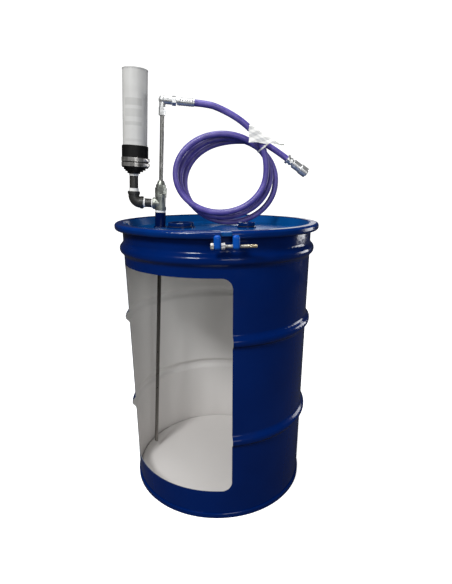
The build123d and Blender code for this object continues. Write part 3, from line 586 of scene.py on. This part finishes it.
# %% A tree that repeats a shape round a circle
def ring_tree(name, shape_kind, **shape_values):
    """A tree that puts a small shape at even steps round a circle on Z."""
    tree = bpy.data.node_groups.new(name, "GeometryNodeTree")
    for label, kind in (("Radius", "Float"), ("Count", "Int"), ("Size", "Vector"),
                        ("Lean", "Float"), ("Material", "Material")):
        tree.interface.new_socket(label, in_out="INPUT", socket_type=f"NodeSocket{kind}")
    tree.interface.new_socket("Geometry", in_out="OUTPUT", socket_type="NodeSocketGeometry")
    kinds = {"given": "NodeGroupInput", "circle": "GeometryNodeCurvePrimitiveCircle",
             "points": "GeometryNodeCurveToPoints", "place": "GeometryNodeInputPosition",
             "outwards": "FunctionNodeAlignRotationToVector",
             "tilt": "FunctionNodeAxisAngleToRotation", "turned": "FunctionNodeRotateRotation",
             "shape": shape_kind, "repeated": "GeometryNodeInstanceOnPoints",
             "real": "GeometryNodeRealizeInstances", "coated": "GeometryNodeSetMaterial",
             "made": "NodeGroupOutput"}
    node = {label: tree.nodes.new(kind) for label, kind in kinds.items()}
    node["circle"].inputs["Resolution"].default_value = 128
    node["points"].mode = "COUNT"
    node["outwards"].axis, node["outwards"].pivot_axis = "X", "Z"
    node["tilt"].inputs["Axis"].default_value = (1, 0, 0)
    node["turned"].rotation_space = "LOCAL"
    for label, value in shape_values.items():
        node["shape"].inputs[label].default_value = value
    for start, output, end, socket in (
            ("given", "Radius", "circle", "Radius"), ("circle", "Curve", "points", "Curve"),
            ("given", "Count", "points", "Count"), ("place", "Position", "outwards", "Vector"),
            ("given", "Lean", "tilt", "Angle"), ("outwards", "Rotation", "turned", "Rotation"),
            ("tilt", "Rotation", "turned", "Rotate By"),
            ("points", "Points", "repeated", "Points"), ("shape", "Mesh", "repeated", "Instance"),
            ("turned", "Rotation", "repeated", "Rotation"), ("given", "Size", "repeated", "Scale"),
            ("repeated", "Instances", "real", "Geometry"),
            ("real", "Geometry", "coated", "Geometry"),
            ("given", "Material", "coated", "Material"),
            ("coated", "Geometry", "made", "Geometry")):
        tree.links.new(node[start].outputs[output], node[end].inputs[socket])
    return tree


def new_piece(name, mesh, finish=None):
    """An object at the origin that holds a mesh."""
    piece = bpy.data.objects.new(name, mesh)
    bpy.context.scene.collection.objects.link(piece)
    if finish:
        mesh.materials.append(finish.material)
    return piece


def grown(name, tree, frame_matrix, **values):
    """A plain mesh piece made by a tree, and put in its place."""
    piece = new_piece(name, bpy.data.meshes.new(name))
    rule = piece.modifiers.new("rule", "NODES")
    rule.node_group = tree
    for item in tree.interface.items_tree:
        if item.in_out == "INPUT":
            rule[item.identifier] = values[item.name]
    bpy.context.view_layer.update()
    evaluated = piece.evaluated_get(bpy.context.evaluated_depsgraph_get())
    mesh = bpy.data.meshes.new_from_object(evaluated)
    piece.modifiers.clear()
    piece.data = mesh
    mesh.name = name
    mesh.transform(frame_matrix)
    print(name, "has", len(mesh.polygons), "faces")
    return piece


def standing_on(place, axis, side):
    """A frame with its origin at a place, its Z along an axis and its X near a side."""
    across = axis.cross(side).normalized()
    return Matrix.Translation(place) @ Matrix((across.cross(axis), across, axis)) \
        .transposed().to_4x4()


# %% Weld bead and clamp slots
bead_tree = ring_tree("beads round a circle", "GeometryNodeMeshIcoSphere",
                      Radius=1.0, Subdivisions=3)
slot_tree = ring_tree("slots round a circle", "GeometryNodeMeshCube", Size=(1.0, 1.0, 1.0))
weld_bead = grown("neck_weld_bead", bead_tree,
                  standing_on(adapter_foot, adapter_up, adapter_side), Radius=0.0185, Count=34,
                  Size=(0.0026, 0.0028, 0.0034), Lean=0.5, Material=navy_paint.material)
slot_dark = metal("clamp slot", (0.2, 0.2, 0.19), (0.12, 0.12, 0.11), 0.5, 900)
clamp_slots = []
for name, height in (("lower", 0.183), ("upper", 0.197)):
    middle = adapter_foot + adapter_side * breather_offset + adapter_up * height
    clamp_slots.append(grown(f"{name}_clamp_slots", slot_tree,
                             standing_on(middle, adapter_up, adapter_side), Radius=0.041,
                             Count=72, Size=(0.0003, 0.0011, 0.0062), Lean=0.2,
                             Material=slot_dark.material))

# %% [markdown]
# ## The ring's bolt
#
# The closing ring is pulled shut by a long bolt that is threaded over its whole length. The
# thread is a real helix: each point's radius depends on its height less its share of a turn,
# so the grooves climb round the rod. A loop over rows and steps writes it as one grid.


# %% Threaded bolt
def stacked_rings(mesh, rings):
    """A closed skin over a stack of equal rings of points, capped at both ends."""
    rows = [[mesh.verts.new(point) for point in ring] for ring in rings]
    for below, above in zip(rows, rows[1:]):
        for step in range(len(below)):
            after = (step + 1) % len(below)
            mesh.faces.new((below[step], below[after], above[after], above[step])).smooth = True
    mesh.faces.new(rows[0][::-1])
    mesh.faces.new(rows[-1])


def ring_of(radius, height, around, spin=0.0):
    """Points round a circle at one height."""
    return [(radius * cos(spin + 2 * pi * step / around),
             radius * sin(spin + 2 * pi * step / around), height) for step in range(around)]


def threaded_rings(radius, depth, pitch, low, high, around, per_turn):
    """The rings of a rod whose radius follows a screw thread that fades out at its ends."""
    rows = round((high - low) / pitch * per_turn)
    for row in range(rows + 1):
        height = low + (high - low) * row / rows
        ease = min(1.0, (high - height) / pitch, (height - low) / pitch)
        ring = []
        for step in range(around):
            share = (height / pitch - step / around) % 1.0
            reach = radius - depth * (1 - ease * abs(2 * share - 1))
            ring.append((reach * cos(2 * pi * step / around),
                         reach * sin(2 * pi * step / around), height))
        yield ring


bolt_radius, bolt_pitch, thread_depth = 0.0045, 0.00175, 0.0007
head_end, bolt_tip = -0.0323, 0.074
head_radius, head_height, head_bevel = 0.0084, 0.0075, 0.0009
bolt_mesh = bmesh.new()
stacked_rings(bolt_mesh, list(threaded_rings(bolt_radius, thread_depth, bolt_pitch,
                                             head_end - 0.001, bolt_tip, 24, 8)))
stacked_rings(bolt_mesh, [ring_of(head_radius - head_bevel, head_end - head_height, 6),
                          ring_of(head_radius, head_end - head_height + head_bevel, 6),
                          ring_of(head_radius, head_end, 6)])
bmesh.ops.recalc_face_normals(bolt_mesh, faces=bolt_mesh.faces)
for face in bolt_mesh.faces:
    face.smooth = len(face.verts) == 4 and face.calc_area() < 1e-5
bolt_data = bpy.data.meshes.new("threaded_ring_bolt")
bolt_mesh.to_mesh(bolt_data)
bolt_mesh.free()
bolt_axis = Vector((0.9973145, 0.0732382, 0.0))
bolt_place = Vector((0.0232165, -0.3161487, 0.8435))
bolt_data.transform(standing_on(bolt_place, bolt_axis, Vector((0, 0, -1))))

bolt_skin = metal("yellow zinc bolt", (0.68, 0.67, 0.64), (0.45, 0.44, 0.42), 0.3, 800)
yellow_from, yellow_to = 0.055, 0.085
to_tip = bolt_skin.between(bolt_skin.parts(bolt_skin.place)[0], yellow_from, yellow_to)
bolt_silver = bolt_skin.shader.inputs["Base Color"].links[0].from_socket
bolt_skin.set("Base Color", bolt_skin.mix(to_tip, bolt_silver, (0.6, 0.52, 0.36)))
closing_bolt = new_piece("threaded_ring_bolt", bolt_data, bolt_skin)
print("bolt with", len(bolt_data.polygons), "faces")

# %% [markdown]
# ## The tie and the tag
#
# A nylon tie holds the strands together. A tight strap takes the shape of a string pulled
# round them, which is the convex hull of their circles, so the hull is worked out where the
# hose's own line crosses the tie's plane. The strap is that hull with a thickness.

# %% Where the tie crosses the strands
tie_angle = radians(38.0)
tie_width, tie_thickness, tie_gap = 0.0048, 0.0013, 0.0002
nearest_strand, farthest_strand = 0.05, 0.2
tie_outwards = Vector((cos(tie_angle), 0, sin(tie_angle)))
tie_across = Vector((-sin(tie_angle), 0, cos(tie_angle)))
tie_centre = coil_centre + coil_drift * (coil_turns / 2)
strands = []
for start, end in zip(hose_line, hose_line[1:]):
    before, after = ((point - tie_centre).dot(tie_across) for point in (start, end))
    if before * after <= 0 and before != after:
        crossing = start.lerp(end, before / (before - after)) - tie_centre
        if nearest_strand < crossing.dot(tie_outwards) < farthest_strand:
            strands.append((crossing.dot(tie_outwards), crossing.y))
print("the tie goes round", len(strands), "strands")


# %% Nylon tie
circle_steps = 48
tie_head_size = (0.0042, 0.0075, 0.0068)
head_forward, head_outwards, head_lean = 0.002, 0.001, 0.4


def hull_round(centres, radius):
    """The outline of a string pulled tight round equal circles, each drawn in even steps."""
    turns = [2 * pi * step / circle_steps for step in range(circle_steps)]
    cloud = [Vector((u + radius * cos(angle), v + radius * sin(angle)))
             for u, v in centres for angle in turns]
    return [cloud[index] for index in convex_hull_2d(cloud)]


def strap(name, outline, finish):
    """A flat strap that stands on a closed outline in the tie's plane."""
    middle = sum(outline, Vector((0, 0))) / len(outline)
    shape = bmesh.new()
    corners = []
    for point in outline:
        beside = (point - middle).normalized() * tie_thickness
        row = []
        for across, out in ((-1, 0), (1, 0), (1, 1), (-1, 1)):
            flat = point + beside * out
            row.append(shape.verts.new(tie_centre + tie_outwards * flat.x
                                       + Vector((0, flat.y, 0))
                                       + tie_across * (across * tie_width / 2)))
        corners.append(row)
    for here, after in zip(corners, corners[1:] + corners[:1]):
        for side in range(4):
            nearby = (side + 1) % 4
            shape.faces.new((here[side], here[nearby], after[nearby], after[side]))
    head = bmesh.ops.create_cube(shape, size=1.0)["verts"]
    place = min(outline, key=lambda point: point.y - point.x * head_lean)
    seat = (tie_centre + tie_outwards * (place.x + head_outwards)
            + Vector((0, place.y - head_forward, 0)))
    head_matrix = standing_on(seat, tie_across, tie_outwards) @ Matrix.Diagonal((*tie_head_size, 1))
    bmesh.ops.transform(shape, verts=head, matrix=head_matrix)
    bmesh.ops.recalc_face_normals(shape, faces=shape.faces)
    mesh = bpy.data.meshes.new(name)
    shape.to_mesh(mesh)
    shape.free()
    return new_piece(name, mesh, finish)


nylon = plain("nylon tie", (0.62, 0.62, 0.6), (0.5, 0.5, 0.48), 0.4, 700, 0.1)
nylon_tie = strap("nylon_tie", hull_round(strands, hose_radius + tie_gap), nylon)
print("tie with", len(nylon_tie.data.polygons), "faces")

# %% [markdown]
# The tag is a sheet of thin paper, folded to a triangle and tucked under the hose. Paper does
# not stretch, so it keeps flat facets between sharp creases. Sums of folded waves give such
# creases, and a Solidify modifier gives the sheet its thickness.


# %% Paper tag
def fold(value):
    """A wave of straight ramps between -1 and 1, which folds sharply at each end."""
    return 4 * abs(value - floor(value + 0.5)) - 1


tag_left, tag_tip, tag_top, tag_foot, tag_front = 0.0985, 0.2090, 1.1580, 1.1075, 0.0585
tag_columns, tag_rows, tip_share, narrowing = 44, 20, 0.06, 1.12
tag_creases = ((0.0011, 1.7, 1.1), (0.0008, -1.9, 2.3), (0.0004, 5.1, 4.3))
curl_depth, curl_start = 0.010, 0.8
edge_wave, foot_wave, foot_drop = 0.0012, 0.0015, 0.008
tag_mesh = bmesh.new()
tag_grid = []
for column in range(tag_columns + 1):
    along = column / tag_columns
    narrow = max(tip_share, 1 - along * narrowing)
    column_points = []
    for row in range(tag_rows + 1):
        up = row / tag_rows * narrow
        creases = sum(depth * fold(waves_along * along + waves_up * up)
                      for depth, waves_along, waves_up in tag_creases)
        curl = curl_depth * (max(0.0, along - curl_start) / (1 - curl_start)) ** 2
        x = tag_left + (tag_tip - tag_left) * along + edge_wave * fold(1.3 * up + 0.2)
        z = (tag_foot - foot_drop * along + (tag_top - tag_foot) * up
             + foot_wave * fold(2.2 * along))
        column_points.append(tag_mesh.verts.new((x, tag_front + creases + curl, z)))
    tag_grid.append(column_points)
for left_column, right_column in zip(tag_grid, tag_grid[1:]):
    for row in range(tag_rows):
        tag_mesh.faces.new((left_column[row], right_column[row], right_column[row + 1],
                            left_column[row + 1]))
tag_data = bpy.data.meshes.new("folded_tag")
tag_mesh.to_mesh(tag_data)
tag_mesh.free()
tag_paper = plain("tag paper", (0.62, 0.62, 0.60), (0.72, 0.72, 0.70), 0.75, 320, 0.35, 0.2)
# Painted shade: the paper turns grey where its end curls back and tucks behind the hose.
tuck_shade_from, tuck_shade_to = 0.176, 0.208
tuck_shade_share = tag_paper.between(tag_paper.parts(tag_paper.place)[0], tuck_shade_from, tuck_shade_to)
paper_white = tag_paper.shader.inputs["Base Color"].links[0].from_socket
tag_paper.set("Base Color", tag_paper.mix(tuck_shade_share, paper_white, (0.22, 0.25, 0.2)))
folded_tag = new_piece("folded_tag", tag_data, tag_paper)
thickness = folded_tag.modifiers.new("thickness", "SOLIDIFY")
thickness.thickness, thickness.offset = 0.0005, 0.0
print("tag with", len(tag_data.polygons), "faces")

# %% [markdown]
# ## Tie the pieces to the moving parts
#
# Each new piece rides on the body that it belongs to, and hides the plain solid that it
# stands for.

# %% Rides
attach(transfer_hose, "hose_line")
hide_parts("hose_lead", "hose_coil", "hose_tail")
for piece, body, node, slot in ((nylon_tie, "hose_line", "hose_tie", "tie"),
                                (folded_tag, "hose_line", "paper_tag", "paper"),
                                (closing_bolt, "ring_bolt", "ring_bolt", "zinc"),
                                (weld_bead, "drum", "neck_weld", "neck_paint")):
    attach(piece, body)
    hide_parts(node)
for piece in clamp_slots:
    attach(piece, "drum")
on_hose = [nylon_tie, folded_tag]
on_hose += [nodes[name] for name in ("outlet_ferrule", "coupler_body", "coupler_sleeve",
                                     "coupler_poppet", "coupler_balls", "snap_ring")]
